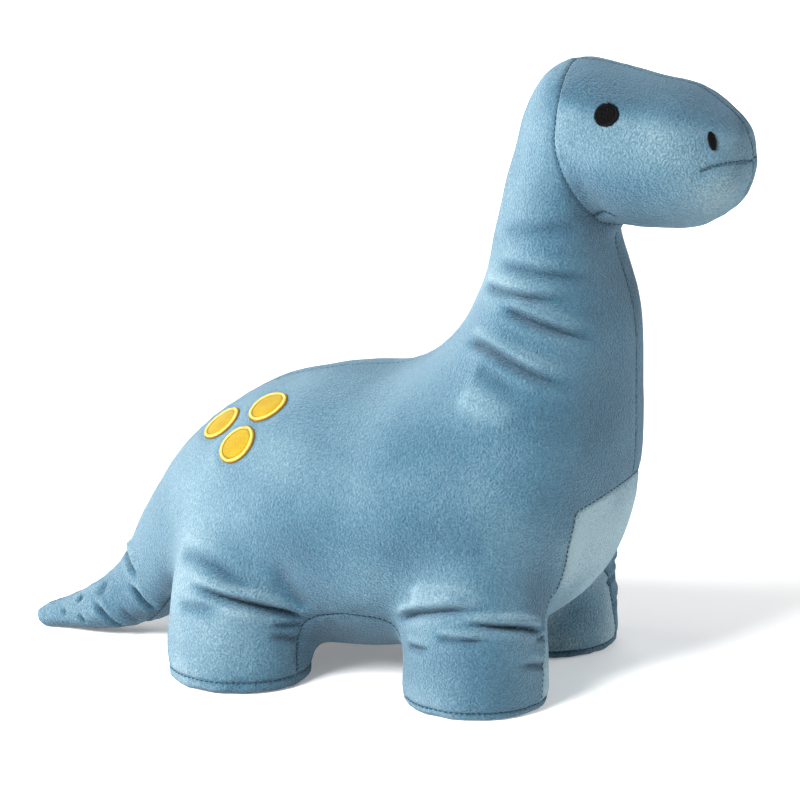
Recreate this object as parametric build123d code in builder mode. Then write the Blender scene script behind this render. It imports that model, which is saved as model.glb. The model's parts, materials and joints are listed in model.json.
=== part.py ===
from build123d import *
import os
from math import cos, pi, radians, sin

os.makedirs("parts", exist_ok=True)

# Stuffed dinosaur: sewn panels of plush cloth over fibre filling, on four stumpy legs, with a tail
# that lies on the ground. +X to the head, +Y to the animal's left, +Z up, origin on the ground under
# the middle of the whole length. Millimetres.

# ---- cloth and embroidery ----
cloth = 1.6             # thickness of the plush cloth with its pile
patch_rise = 0.9        # height of embroidery or of a sewn-on spot over the cloth
joint_gap = 0.5         # space between two stuffed parts at a flex line

# ---- cross-sections: x and z of the centre, tilt in degrees, half height, half width ----
tail_root = (-110, 57, 28, 39, 46)
neck_base = (97.5, 196, 49, 52, 54)
head_seam = (110, 291.5, 15, 42.5, 40)

trunk_sections = [
    tail_root,
    (-84, 71.5, 13, 59, 70),
    (-55.5, 80.5, 6, 70, 82),
    (-23.5, 84.5, 2, 75.5, 87),
    (17, 89, 5, 76.5, 88),
    (53, 100.5, 16, 80, 85),
    (80, 123, 28, 77, 76),
    (93, 158, 41, 64, 65),
    neck_base,
]
neck_sections = [
    neck_base,
    (98, 226, 57, 44, 45),
    (97, 260, 50, 36, 40),
    head_seam,
]
head_sections = [
    head_seam,
    (128.5, 288.5, 7, 42.5, 43),
    (147.5, 286, 3, 40, 42),
    (166, 284.5, -1, 38, 38),
    (179.5, 283, -2, 31, 32),
    (190, 282.5, -2, 23, 24),
    (197.5, 282, -2, 7, 8),
]
tail_sections = [
    tail_root,
    (-123.5, 47, 35, 28.5, 33),
    (-142, 28, 31, 19, 23),
    (-166, 13.7, 22, 13, 16),
    (-188, 8.2, 14, 7.4, 9),
    (-198, 5, 10, 4, 4),
]

# ---- legs ----
leg_x = {"front": 68, "rear": -64}
leg_y = 58
leg_radius = 37.5
foot_radius = 32        # where the rounded rim of a leg meets the ground
foot_round = 11         # height of that rim
leg_shoulder_z = 42     # above this the leg narrows into the trunk
leg_crown_z = 86
leg_crown_radius = 22
sole_radius = 30.5

# ---- underside panel: its outline on the chest (y, z) and under the belly (x, y), one half ----
chest_outline = [(0, 112), (46, 103), (46, 84), (38, 58), (52, 44), (56, 26), (56, -5)]
belly_outline = [(68, 69), (-84, 69), (-100, 40), (-130, 16)]
belly_seam_z = 43
tail_gusset_half_width = 13

# ---- face: centre, outward direction, both for the left side ----
eye_centre = (129, 36, 310)
eye_direction = (0.08, 0.85, 0.52)
eye_radius = 6.4
eye_border = 1.4
nostril_centre = (182, 26, 298)
nostril_direction = (0.68, 0.62, 0.38)
nostril_half_width = 2.5
nostril_half_height = 5

# ---- hip spots: centre and outward direction, for the left side ----
spot_radius = 11.6
spot_border = 2.4
spots = {
    "front": ((-55, 40, 144), (-0.40, 0.38, 0.83)),
    "lower": ((-66, 58, 127), (-0.57, 0.53, 0.63)),
    "rear": ((-84, 34, 131), (-0.66, 0.29, 0.70)),
}
patch_reach = 12        # how far a patch's cutting cylinder runs each way

# ---- flex lines: each joint's range in degrees, both ways ----
neck_bend_limit = 12
head_nod_limit = 12
tail_swing_limit = 15
wedge_margin = 1        # a wedge is this much wider than its joint's range
wedge_half_length = 75
neck_wedge_reach = 76
head_wedge_reach = 58
tail_wedge_reach = 57
chin_clearance = 68     # direction of the throat wedge's front, in degrees from the head's line
tail_turn = 7           # the tail lies turned this far to the animal's right

sides = {"left": 1, "right": -1}


def section_plane(section):
    """The plane of a cross-section: x up the section, z along the body towards the head."""
    x, z, tilt = section[:3]
    slope = radians(tilt)
    normal = (cos(slope), 0, sin(slope))
    return Plane(origin=(x, 0, z), x_dir=(-sin(slope), 0, cos(slope)), z_dir=normal)


def oval(half_height, half_width, count=12):
    """Points round an ellipse, starting at its top."""
    angles = [2 * pi * step / count for step in range(count)]
    return [(half_height * cos(angle), half_width * sin(angle)) for angle in angles]


def body_loft(sections, inset, closed_end=False):
    """A smooth solid through cross-sections that are each made smaller by the inset. A closed end is
    moved back by the inset as well."""
    with BuildPart() as body:
        for index, section in enumerate(sections):
            plane = section_plane(section)
            if closed_end and index == len(sections) - 1:
                plane = plane.offset(-inset if section[0] > 0 else inset)
            with BuildSketch(plane):
                with BuildLine():
                    Spline(*oval(section[3] - inset, section[4] - inset), periodic=True)
                make_face()
        loft()
    return body.part


def leg_solid(inset):
    """A stumpy leg on the Z axis, made smaller by the inset."""
    radius = leg_radius - inset
    foot = foot_radius - inset
    with BuildPart() as leg:
        with BuildSketch(Plane.XZ):
            with BuildLine():
                Line((0, inset), (foot, inset))
                rim = Spline((foot, inset), (radius, foot_round), tangents=[(1, 0.35), (0, 1)])
                Line(rim @ 1, (radius, leg_shoulder_z))
                crown_start = (radius, leg_shoulder_z)
                crown_end = (leg_crown_radius - inset, leg_crown_z - inset)
                crown = Spline(crown_start, crown_end, tangents=[(0, 1), (-1, 0.5)])
                Line(crown @ 1, (0, leg_crown_z - inset))
                Line((0, leg_crown_z - inset), (0, inset))
            make_face()
        revolve(axis=Axis.Z)
    return leg.part


def flex_wedge(plane, start, stop, reach):
    """A wedge between two directions in a plane, given in degrees from its x axis, with its edge on
    the plane's z axis."""
    directions = [start, (start + stop) / 2, stop]
    corners = [(reach * cos(radians(d)), reach * sin(radians(d))) for d in directions]
    with BuildPart() as wedge:
        with BuildSketch(plane):
            with BuildLine():
                Polyline((0, 0), *corners, close=True)
            make_face()
        extrude(amount=wedge_half_length, both=True)
    return wedge.part


def hinge_plane(section, axis):
    """The plane in which a joint turns: x along the body towards the head, z along the joint's axis."""
    x, z, tilt = section[:3]
    slope = radians(tilt)
    return Plane(origin=(x, 0, z), x_dir=(cos(slope), 0, sin(slope)), z_dir=axis)


def tail_axis():
    """The upright line across the tail's root that the tail swings about."""
    slope = radians(tail_root[2])
    return (-sin(slope), 0, cos(slope))


def cut_trunk_ends(solid):
    """The trunk, with a wedge cut at each end that leaves room for the neck and the tail to flex."""
    lean = neck_bend_limit + wedge_margin
    swing = tail_swing_limit + wedge_margin
    neck_plane = hinge_plane(neck_base, (0, 1, 0))
    tail_plane = hinge_plane(tail_root, tail_axis())
    with BuildPart() as trimmed:
        add(solid)
        add(flex_wedge(neck_plane, 88, 90 + lean, neck_wedge_reach), mode=Mode.SUBTRACT)
        add(flex_wedge(neck_plane, -90 - lean, -88, neck_wedge_reach), mode=Mode.SUBTRACT)
        left = 90 + tail_turn
        right = -90 + tail_turn
        add(flex_wedge(tail_plane, left - swing, left + swing, tail_wedge_reach), mode=Mode.SUBTRACT)
        add(flex_wedge(tail_plane, right - swing, right + swing, tail_wedge_reach), mode=Mode.SUBTRACT)
    return trimmed.part


def cut_neck_ends(solid):
    """The neck, flat below and with a wedge above that leaves room for the head to nod. The wedge is
    wider at the throat, where the chin comes down in front of the neck."""
    nod = head_nod_limit + wedge_margin
    head_plane = hinge_plane(head_seam, (0, 1, 0))
    with BuildPart() as trimmed:
        add(solid)
        split(bisect_by=section_plane(neck_base).offset(joint_gap), keep=Keep.TOP)
        add(flex_wedge(head_plane, chin_clearance, 90 + nod, head_wedge_reach), mode=Mode.SUBTRACT)
        add(flex_wedge(head_plane, -90 - nod, -88, head_wedge_reach), mode=Mode.SUBTRACT)
    return trimmed.part


def cut_head_end(solid):
    """The head, flat at its seam with the neck."""
    with BuildPart() as trimmed:
        add(solid)
        split(bisect_by=section_plane(head_seam).offset(joint_gap), keep=Keep.TOP)
    return trimmed.part


def cut_tail_end(solid):
    """The tail, flat at its root."""
    with BuildPart() as trimmed:
        add(solid)
        split(bisect_by=section_plane(tail_root).offset(-joint_gap), keep=Keep.BOTTOM)
    return trimmed.part


def turned_tail(solid):
    """The tail, turned about the upright line of its root."""
    return solid.rotate(Axis((tail_root[0], 0, tail_root[1]), tail_axis()), tail_turn)


def half(solid, sign):
    """The part of a solid on one side of the middle plane: +1 is the left."""
    with BuildPart() as one_side:
        add(solid)
        split(bisect_by=Plane.XZ, keep=Keep.BOTTOM if sign > 0 else Keep.TOP)
    return one_side.part


def save(name, solid):
    """Label a finished piece and write it out."""
    solid.label = name
    export_step(solid, f"parts/{name}.step")


def mirrored_outline(points):
    """A closed outline from one half of it, the second coordinate being the one that is mirrored."""
    return points + [(first, -second) for first, second in reversed(points)]


# ---- envelopes of the stuffed body: the outside of the cloth and its inside ----
trunk_outside = body_loft(trunk_sections, 0)
trunk_inside = body_loft(trunk_sections, cloth)
neck_outside = body_loft(neck_sections, 0)
neck_inside = body_loft(neck_sections, cloth)
head_outside = body_loft(head_sections, 0, closed_end=True)
head_inside = body_loft(head_sections, cloth, closed_end=True)
tail_outside = body_loft(tail_sections, 0, closed_end=True)
tail_inside = body_loft(tail_sections, cloth, closed_end=True)
leg_outside = leg_solid(0)
leg_inside = leg_solid(cloth)
leg_places = {}
for end, x in leg_x.items():
    for side, sign in sides.items():
        leg_places[f"{end}_{side}"] = (x, sign * leg_y, 0)

# ---- torso: filling, legs' filling, soles ----
with BuildPart() as torso_filling:
    add(cut_trunk_ends(trunk_inside))
save("torso_filling", torso_filling.part)

for place, position in leg_places.items():
    with BuildPart() as leg_filling:
        with Locations(position):
            add(leg_inside)
        add(trunk_inside, mode=Mode.SUBTRACT)
    save(f"leg_filling_{place}", leg_filling.part)

    with BuildPart() as sole:
        with BuildSketch(Plane(origin=position)):
            Circle(sole_radius)
        extrude(amount=cloth)
    save(f"sole_{place}", sole.part)

# ---- torso: the cloth skin, then its three panels ----
with BuildPart() as torso_skin:
    add(cut_trunk_ends(trunk_outside))
    with Locations(*leg_places.values()):
        add(leg_outside)
    add(trunk_inside, mode=Mode.SUBTRACT)
    with Locations(*leg_places.values()):
        add(leg_inside, mode=Mode.SUBTRACT)
    for position in leg_places.values():
        with BuildSketch(Plane(origin=position)):
            Circle(sole_radius)
    extrude(amount=cloth, mode=Mode.SUBTRACT)

with BuildPart() as gusset_region:
    with BuildSketch(Plane.YZ.offset(leg_x["front"])):
        with BuildLine():
            Polyline(*chest_outline, *[(-y, z) for y, z in reversed(chest_outline[1:])], close=True)
        make_face()
    extrude(amount=100)
    with BuildSketch(Plane.XY.offset(-5)):
        with BuildLine():
            Polyline(*mirrored_outline(belly_outline), close=True)
        make_face()
    extrude(amount=belly_seam_z + 5)

with BuildPart() as underbody_gusset:
    add(torso_skin.part)
    add(gusset_region.part, mode=Mode.INTERSECT)
save("underbody_gusset", underbody_gusset.part)

with BuildPart() as torso_sides:
    add(torso_skin.part)
    add(gusset_region.part, mode=Mode.SUBTRACT)
for side, sign in sides.items():
    save(f"torso_panel_{side}", half(torso_sides.part, sign))

# ---- neck and head ----
with BuildPart() as neck_filling:
    add(cut_neck_ends(neck_inside))
save("neck_filling", neck_filling.part)

with BuildPart() as neck_skin:
    add(cut_neck_ends(neck_outside))
    add(neck_inside, mode=Mode.SUBTRACT)

with BuildPart() as head_filling:
    add(cut_head_end(head_inside))
save("head_filling", head_filling.part)

with BuildPart() as head_skin:
    add(cut_head_end(head_outside))
    add(head_inside, mode=Mode.SUBTRACT)

for side, sign in sides.items():
    save(f"neck_panel_{side}", half(neck_skin.part, sign))
    save(f"head_panel_{side}", half(head_skin.part, sign))

# ---- tail: filling, underside strip and two side panels ----
with BuildPart() as tail_filling:
    add(cut_tail_end(tail_inside))
save("tail_filling", turned_tail(tail_filling.part))

with BuildPart() as tail_skin:
    add(cut_tail_end(tail_outside))
    add(tail_inside, mode=Mode.SUBTRACT)

with BuildPart() as tail_underside:
    with BuildSketch(Plane.XZ):
        with BuildLine():
            spine = [(section[0], section[1]) for section in tail_sections]
            Polyline((-100, 60), *spine, (-205, 5), (-205, -10), (-100, -10), close=True)
        make_face()
    extrude(amount=tail_gusset_half_width, both=True)

with BuildPart() as tail_gusset:
    add(tail_skin.part)
    add(tail_underside.part, mode=Mode.INTERSECT)
save("tail_gusset", turned_tail(tail_gusset.part))

with BuildPart() as tail_sides:
    add(tail_skin.part)
    add(tail_underside.part, mode=Mode.SUBTRACT)
for side, sign in sides.items():
    save(f"tail_panel_{side}", turned_tail(half(tail_sides.part, sign)))

# ---- embroidery and spots: thin patches that follow the cloth ----
head_raised = body_loft(head_sections, -patch_rise)
trunk_raised = body_loft(trunk_sections, -patch_rise)


def patch(place, direction, sign, shape, raised, base):
    """A patch of the raised surface over the base, as far as the flat shape reaches."""
    x, y, z = place
    out_x, out_y, out_z = direction
    plane = Plane(origin=(x, sign * y, z), z_dir=(out_x, sign * out_y, out_z))
    with BuildPart() as piece:
        with BuildSketch(plane):
            shape()
        extrude(amount=patch_reach, both=True)
        add(raised, mode=Mode.INTERSECT)
        add(base, mode=Mode.SUBTRACT)
    return piece.part


def disc(radius):
    """A round shape."""
    return lambda: Circle(radius)


def ring(radius, width):
    """A round shape with a round hole."""

    def shape():
        Circle(radius)
        Circle(radius - width, mode=Mode.SUBTRACT)

    return shape


for side, sign in sides.items():
    eye_args = (eye_centre, eye_direction, sign)
    head_args = (head_raised, head_outside)
    save(f"eye_{side}", patch(*eye_args, disc(eye_radius - eye_border), *head_args))
    save(f"eye_border_{side}", patch(*eye_args, ring(eye_radius, eye_border), *head_args))
    nostril = lambda: Ellipse(nostril_half_width, nostril_half_height)
    save(f"nostril_{side}", patch(nostril_centre, nostril_direction, sign, nostril, *head_args))
    for name, (centre, direction) in spots.items():
        trunk_args = (trunk_raised, trunk_outside)
        inner = disc(spot_radius - spot_border)
        border = ring(spot_radius, spot_border)
        save(f"spot_{name}_{side}", patch(centre, direction, sign, inner, *trunk_args))
        save(f"spot_border_{name}_{side}", patch(centre, direction, sign, border, *trunk_args))
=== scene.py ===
import json
import math
import random

import bpy
import numpy as np
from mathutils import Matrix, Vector, kdtree, noise
from mathutils.bvhtree import BVHTree


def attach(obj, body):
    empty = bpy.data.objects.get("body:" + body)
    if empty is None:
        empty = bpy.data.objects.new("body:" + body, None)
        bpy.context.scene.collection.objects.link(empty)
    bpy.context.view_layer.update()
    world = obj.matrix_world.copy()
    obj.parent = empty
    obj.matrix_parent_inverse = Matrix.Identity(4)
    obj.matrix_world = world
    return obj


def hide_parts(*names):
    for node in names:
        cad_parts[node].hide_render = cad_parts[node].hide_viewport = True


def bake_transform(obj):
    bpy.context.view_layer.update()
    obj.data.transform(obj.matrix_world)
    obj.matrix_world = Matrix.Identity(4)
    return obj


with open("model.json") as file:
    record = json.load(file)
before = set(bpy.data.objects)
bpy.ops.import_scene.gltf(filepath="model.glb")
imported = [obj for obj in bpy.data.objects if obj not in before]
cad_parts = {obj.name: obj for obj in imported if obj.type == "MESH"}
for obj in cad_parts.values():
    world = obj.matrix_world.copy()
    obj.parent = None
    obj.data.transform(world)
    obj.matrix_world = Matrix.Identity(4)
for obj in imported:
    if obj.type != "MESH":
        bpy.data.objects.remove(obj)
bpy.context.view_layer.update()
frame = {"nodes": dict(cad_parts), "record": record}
rng = random.Random(11)
MM = 0.001

# ---- Camera: to the right of the animal, a little in front and above, with a long lens.
AZIMUTH, ELEVATION = math.radians(20), math.radians(14)
DISTANCE = 2.4
back = Vector((
    math.sin(AZIMUTH) * math.cos(ELEVATION),
    -math.cos(AZIMUTH) * math.cos(ELEVATION),
    math.sin(ELEVATION),
))
right = Vector((math.cos(AZIMUTH), math.sin(AZIMUTH), 0))
up = back.cross(right)
aim = Vector((0.002, 0, 0.150)) + right * 0.0029 - up * 0.0077
camera_data = bpy.data.cameras.new("camera")
camera_data.lens = 203.8
camera_data.sensor_width = 36
camera_data.clip_end = 20
camera = bpy.data.objects.new("camera", camera_data)
camera.location = aim + back * DISTANCE
camera.rotation_euler = back.to_track_quat("Z", "Y").to_euler()
bpy.context.scene.collection.objects.link(camera)
bpy.context.scene.camera = camera

# ---- Shape tables, in millimetres. Cross-sections: x and z of the centre, tilt, half height, half width.
BODY_SECTIONS = [
    (-205, 5, 10, 4, 4), (-201, 5.5, 10, 6.5, 7), (-188, 8.4, 14, 9, 10.5), (-166, 13.6, 22, 14.2, 17),
    (-142, 26.5, 31, 21, 24), (-123.5, 45, 35, 31, 34), (-110, 56.5, 28, 40, 46), (-84, 71.5, 13, 59, 70),
    (-55.5, 80.5, 6, 70, 82), (-23.5, 84.5, 2, 75.5, 87), (17, 89, 5, 76.5, 88),
    (53, 100.5, 16, 80, 85), (80, 123, 28, 77, 76), (93, 158, 41, 64, 65), (97.5, 196, 49, 52, 54),
    (98, 226, 57, 44, 45), (97, 260, 50, 36, 40), (110, 291.5, 15, 42.5, 40),
    (128.5, 288.5, 7, 42.5, 43), (147.5, 286, 3, 40, 42), (166, 284.5, -1, 38, 38),
    (179.5, 283, -2, 31, 32), (190, 282.5, -2, 23, 24), (197.5, 282, -2, 7, 8),
]
LEG_X = {"front": 68, "rear": -64}
LEG_Y = 58
LEG_PROFILE = [    # radius and height
    (36.5, -0.6), (39, 0.8), (39.3, 5), (39, 11), (38.5, 25), (37.8, 42), (34, 62), (27, 78), (15, 86),
]
STOUT_LEG = 1.04        # the front left leg is a little thicker than the others
SOLE_SEAM_Z = {"front": 4.2, "rear": 6.5}
TAIL_ROOT_X = -110
TAIL_TURN = 0.123       # how far the tail veers to the right, per length behind its root
SIDES = {"left": 1, "right": -1}
ROUGH_SIZE = 4.8        # cell of the rough cover's mesh
PIN_REACH = 2.6         # the cover is held this near to a seam
CLOTH_FRAMES = 20
CLOTH_SLACK = 0.5       # how much smaller the cover starts before it is blown up
CLOTH_CAP = 1.6         # the most that blowing up may move it
CLOTH_THICKNESS = 1.4
FILLING_CELL = 4.0


def linked(name, data):
    """An object in the scene that shows a mesh or a light."""
    holder = bpy.data.objects.new(name, data)
    bpy.context.scene.collection.objects.link(holder)
    return holder


def baked(holder):
    """The mesh that an object's modifiers make; the object itself is removed."""
    mesh = bpy.data.meshes.new_from_object(holder.evaluated_get(bpy.context.evaluated_depsgraph_get()))
    bpy.data.objects.remove(holder)
    return mesh


def remesh_evenly(holder, cell):
    """Replace an object's mesh by one watertight mesh of even cells."""
    modifier = holder.modifiers.new("remesh", "REMESH")
    modifier.mode = "VOXEL"
    modifier.voxel_size = cell * MM
    return baked(holder)


def tail_middle(x):
    """y of the body's middle line: zero, and veering to the right along the tail."""
    behind = TAIL_ROOT_X - x
    return -TAIL_TURN * 0.5 * (behind + np.sqrt(behind * behind + 100.0)) * (behind > -60)


def smooth_rows(rows, steps):
    """Rows of numbers joined by a smooth curve, with some steps between each two."""
    rows = np.array(rows, float)
    spans = np.diff(rows, axis=0)
    reach = np.linalg.norm(spans, axis=1)[:, None]
    slopes = spans / reach
    inner = (slopes[:-1] * reach[1:] + slopes[1:] * reach[:-1]) / (reach[:-1] + reach[1:])
    slopes = np.vstack([slopes[:1], inner, slopes[-1:]])
    out = []
    for i in range(len(rows) - 1):
        lead, trail = slopes[i] * reach[i], slopes[i + 1] * reach[i]
        for u in np.arange(steps) / steps:
            out.append(rows[i] + lead * u + (3 * spans[i] - 2 * lead - trail) * u * u
                       + (lead + trail - 2 * spans[i]) * u ** 3)
    out.append(rows[-1])
    return np.array(out)


def rings_to_mesh(rings):
    """Vertices and faces of a closed tube through rings of points."""
    count = len(rings[0])
    verts = [tuple(p) for ring in rings for p in ring]
    faces = []
    for i in range(len(rings) - 1):
        for j in range(count):
            k = (j + 1) % count
            faces.append((i * count + j, i * count + k, (i + 1) * count + k, (i + 1) * count + j))
    verts += [tuple(np.mean(rings[0], 0)), tuple(np.mean(rings[-1], 0))]
    first, last = len(verts) - 2, len(verts) - 1
    for j in range(count):
        k = (j + 1) % count
        faces.append((k, j, first))
        faces.append(((len(rings) - 1) * count + j, (len(rings) - 1) * count + k, last))
    return verts, faces


def body_tube():
    """The tail, trunk, neck and head as one tube of oval rings."""
    rings = []
    turn = np.linspace(0, 2 * math.pi, 64, endpoint=False)
    for x, z, tilt, height, width in smooth_rows(BODY_SECTIONS, 6):
        slope = math.radians(tilt)
        ring_x = x - math.sin(slope) * height * np.sin(turn)
        ring_z = z + math.cos(slope) * height * np.sin(turn)
        ring_y = width * np.cos(turn) + tail_middle(x)
        rings.append(np.stack([ring_x, ring_y, ring_z], 1))
    return rings_to_mesh(rings)


def leg_tube(x, y, stoutness):
    """One stumpy leg, from the ground into the trunk."""
    turn = np.linspace(0, 2 * math.pi, 48, endpoint=False)
    rings = []
    for radius, z in smooth_rows(LEG_PROFILE, 4):
        radius *= stoutness
        rings.append(np.stack([x + radius * np.cos(turn), y + radius * np.sin(turn), 0 * turn + z], 1))
    return rings_to_mesh(rings)


def remeshed(parts):
    """One watertight mesh round several closed ones."""
    verts, faces = [], []
    for part_verts, part_faces in parts:
        shift = len(verts)
        verts += [(p[0] * MM, p[1] * MM, p[2] * MM) for p in part_verts]
        faces += [tuple(i + shift for i in face) for face in part_faces]
    mesh = bpy.data.meshes.new("rough")
    mesh.from_pydata(verts, [], faces)
    return remesh_evenly(linked("rough", mesh), ROUGH_SIZE)


def mesh_arrays(mesh):
    """Vertices in millimetres, edges, and faces as a list of tuples."""
    co = np.zeros(len(mesh.vertices) * 3)
    mesh.vertices.foreach_get("co", co)
    edges = np.zeros(len(mesh.edges) * 2, np.int64)
    mesh.edges.foreach_get("vertices", edges)
    faces = [tuple(p.vertices) for p in mesh.polygons]
    return co.reshape(-1, 3) / MM, edges.reshape(-1, 2), faces


def neighbour_mean(co, edges):
    """The mean place of each vertex's neighbours."""
    total = np.zeros_like(co)
    for axis in range(3):
        total[:, axis] = (np.bincount(edges[:, 0], co[edges[:, 1], axis], len(co))
                          + np.bincount(edges[:, 1], co[edges[:, 0], axis], len(co)))
    count = np.bincount(edges.ravel(), minlength=len(co))
    return total / np.maximum(count, 1)[:, None]


def relax(co, edges, strength, times):
    """Smooth the vertices, each by its own strength from 0 to 1, keeping the volume."""
    strength = np.broadcast_to(strength, len(co))[:, None]
    for _ in range(times):
        co = co + 0.5 * strength * (neighbour_mean(co, edges) - co)
        co = co - 0.48 * strength * (neighbour_mean(co, edges) - co) * 0.6
    return co


def step(value, low, high):
    """Smoothly from 0 at low to 1 at high."""
    t = np.clip((value - low) / (high - low), 0, 1)
    return t * t * (3 - 2 * t)


def seam_pins(co):
    """Which vertices of the rough cover lie by a seam."""
    x, y, z = co.T
    gusset = in_gusset(x, y, z)
    by_seam = (np.abs(on_left(x, y, z)) < PIN_REACH) & (gusset < 0)
    for value in (gusset, in_head(x, y, z), in_sole(x, y, z)):
        by_seam |= np.abs(value) < PIN_REACH
    return np.where(by_seam)[0]


def stuffed(mesh):
    """Blow the cover up from inside as cloth held at its seams, and keep only a little of the move."""
    co, edges, _ = mesh_arrays(mesh)
    cover = linked("cover", mesh)
    scene = bpy.context.scene
    cover.vertex_groups.new(name="seams").add(seam_pins(co).tolist(), 1.0, "REPLACE")
    cloth = cover.modifiers.new("cloth", "CLOTH")
    settings = cloth.settings
    settings.quality = 5
    settings.mass = 0.2
    settings.tension_stiffness = 12
    settings.compression_stiffness = 6
    settings.shear_stiffness = 4
    settings.bending_stiffness = 0.6
    settings.vertex_group_mass = "seams"
    settings.use_pressure = True
    settings.uniform_pressure_force = 4
    settings.effector_weights.gravity = 0
    cloth.collision_settings.use_collision = False
    cloth.point_cache.frame_start = 1
    cloth.point_cache.frame_end = CLOTH_FRAMES
    for frame_number in range(1, CLOTH_FRAMES + 1):
        scene.frame_set(frame_number)
    blown = baked(cover)
    scene.frame_set(1)
    move = mesh_arrays(blown)[0] - co
    reach = np.linalg.norm(move, axis=1)[:, None]
    move *= np.minimum(1, CLOTH_CAP / np.maximum(reach, 1e-6))
    for _ in range(2):
        move += 0.5 * (neighbour_mean(move, edges) - move)
    blown.vertices.foreach_set("co", ((co + move) * MM).ravel())
    return blown


def base_skin():
    """The stuffed body's outer surface before its seams and folds: vertices, edges, faces."""
    parts = [body_tube()]
    for end, x in LEG_X.items():
        for side, sign in SIDES.items():
            stout = STOUT_LEG if (end, side) == ("front", "left") else 1
            parts.append(leg_tube(x, sign * LEG_Y, stout))
    mesh = remeshed(parts)
    co, edges, faces = mesh_arrays(mesh)
    soft = np.zeros(len(co))
    for x in LEG_X.values():
        for sign in SIDES.values():
            reach = np.hypot(co[:, 0] - x, co[:, 1] - sign * LEG_Y)
            near = np.exp(-((reach - 38) / 15) ** 2)
            soft = np.maximum(soft, near * step(co[:, 2], 12, 34) * (1 - step(co[:, 2], 85, 105)))
    for _ in range(11):
        co = co + 0.5 * soft[:, None] * (neighbour_mean(co, edges) - co)
    co = relax(co, edges, 0.8, 2)
    co -= vertex_normals(co, faces) * CLOTH_SLACK
    mesh.vertices.foreach_set("co", (co * MM).ravel())
    mesh = stuffed(mesh)
    cover = linked("rough", mesh)
    cover.modifiers.new("finer", "SUBSURF").levels = 2
    return mesh_arrays(baked(cover))


def vertex_normals(co, faces):
    """Unit normals of the vertices."""
    mesh = bpy.data.meshes.new("normals")
    mesh.from_pydata(co.tolist(), [], faces)
    out = np.zeros(len(co) * 3)
    mesh.vertex_normals.foreach_get("vector", out)
    bpy.data.meshes.remove(mesh)
    return out.reshape(-1, 3)


# ---- Panels: each is the region where a function of the place is above zero, and seams lie where a
# function is zero. Places are in millimetres.
def in_sole(x, y, z):
    seam_z = np.where(x > 0, SOLE_SEAM_Z["front"], SOLE_SEAM_Z["rear"])
    return np.where(x > TAIL_ROOT_X, seam_z - z, -5.0)


def in_head(x, y, z):
    seam = 101.5 + 17.3 * (np.clip(297 - z, 0, 60) / 43) ** 1.6
    chin = 250 - 0.45 * (x - 121)
    return np.minimum(x - seam, z - chin)


def in_gusset(x, y, z):
    side = np.abs(y - tail_middle(x))
    chest_side = np.interp(z, [-5, 12, 27, 42, 50, 58, 84, 104], [62, 60, 56, 52, 44, 38, 46, 47])
    chest_top = 112.5 - 9 * (side / 46) ** 2
    chest = np.minimum(chest_side - side, chest_top - z)
    belly_side = np.interp(x, [-145, -133, -125, -112, -102, -95, -64, -28, 0, 35, 68],
                           [0, 12, 19, 30, 42, 58, 60, 68, 72, 66, 56])
    belly_top = np.interp(x, [-145, -133, -125, -112, -100, -64], [14, 22, 34, 44, 43, 44])
    belly = np.minimum(belly_side - side, belly_top - z)
    return np.where(x > 68, chest, belly)


def on_left(x, y, z):
    return y - tail_middle(x)


REGIONS = [in_sole, in_head, in_gusset, on_left]


def snap(co, edges, region):
    """Move vertices along their edges on to a region's border, so that the border runs along edges."""
    value = region(co[:, 0], co[:, 1], co[:, 2])
    on_border = np.zeros(len(co), bool)
    for _ in range(4):
        a, b = edges[:, 0], edges[:, 1]
        crossing = (value[a] * value[b] < 0) & ~on_border[a] & ~on_border[b]
        a, b = a[crossing], b[crossing]
        if not len(a):
            break
        share = value[a] / (value[a] - value[b])
        mover = np.where(share < 0.5, a, b)
        target = co[a] + share[:, None] * (co[b] - co[a])
        order = np.argsort(-np.minimum(share, 1 - share))
        co[mover[order]] = target[order]
        on_border[mover] = True
        value[mover] = 0
    return on_border


def split_diagonals(faces, on_border):
    """Cut a four-sided face in two where a border runs across it."""
    out = []
    for face in faces:
        if len(face) == 4:
            a, b, c, d = face
            if on_border[a] and on_border[c] and not (on_border[b] or on_border[d]):
                out += [(a, b, c), (a, c, d)]
                continue
            if on_border[b] and on_border[d] and not (on_border[a] or on_border[c]):
                out += [(b, c, d), (b, d, a)]
                continue
        out.append(face)
    return out


def label_faces(centres):
    """Which panel each face belongs to."""
    x, y, z = centres.T
    left = on_left(x, y, z) > 0
    label = np.where(left, "side_left", "side_right").astype(object)
    label[in_gusset(x, y, z) > 0] = "gusset"
    head = in_head(x, y, z) > 0
    label[head & left] = "head_left"
    label[head & ~left] = "head_right"
    sole = in_sole(x, y, z) > 0
    for end, leg_x in LEG_X.items():
        for side, sign in SIDES.items():
            near = np.hypot(x - leg_x, y - sign * LEG_Y) < 42
            label[sole & near] = f"sole_{end}_{side}"
    return label


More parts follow.
